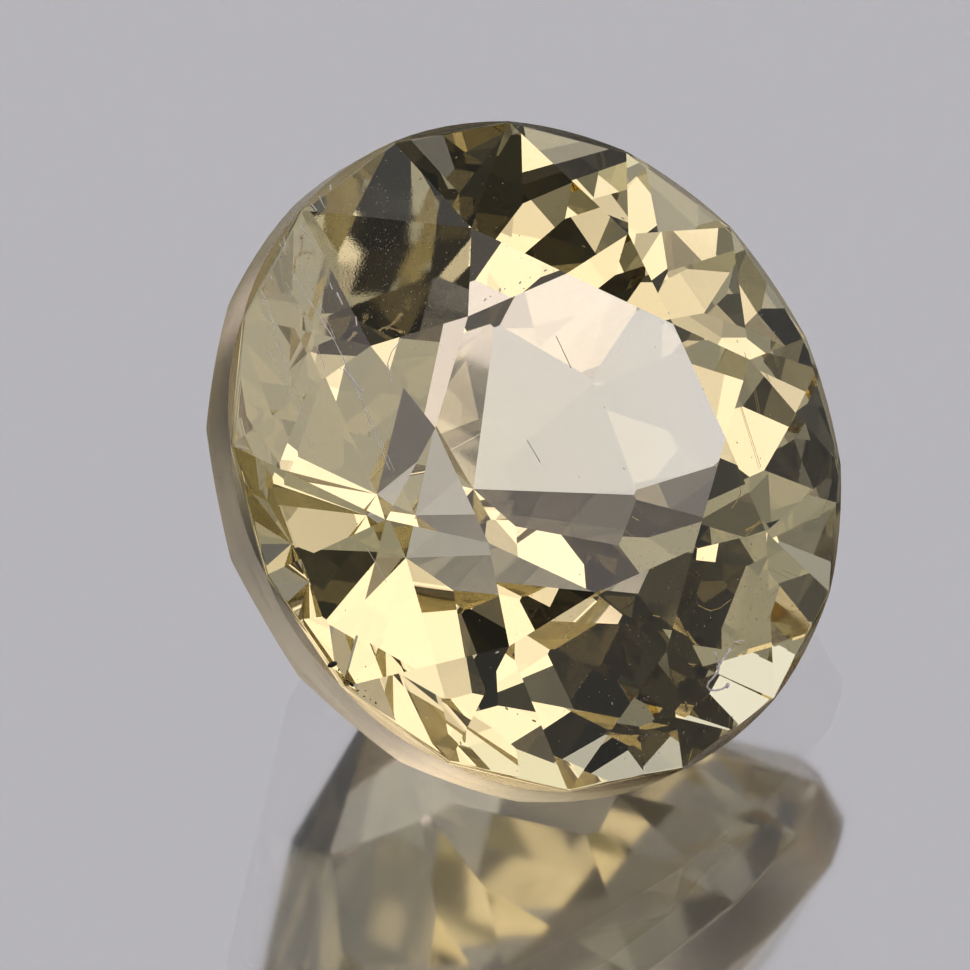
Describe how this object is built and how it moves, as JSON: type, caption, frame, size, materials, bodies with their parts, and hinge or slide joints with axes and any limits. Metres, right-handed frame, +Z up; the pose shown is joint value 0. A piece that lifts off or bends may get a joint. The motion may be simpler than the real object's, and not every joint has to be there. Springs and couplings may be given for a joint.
{
  "type": "diaspore crystal",
  "caption": "Clear pale yellow faceted gemstone with a round girdle, flat table and pointed pavilion, lying tilted on a pavilion facet.",
  "frame": {"origin": "bottom centre of the bounding box, with the stone lying on its resting facet", "axes": "+Z up and square to the resting facet; +Y points away from the picture's camera"},
  "size_m": [0.0064, 0.0066, 0.0051],
  "materials": {
    "diaspore": "polished"
  },
  "bodies": {
    "root": {"stone": "diaspore"}
  },
  "joints": []
}
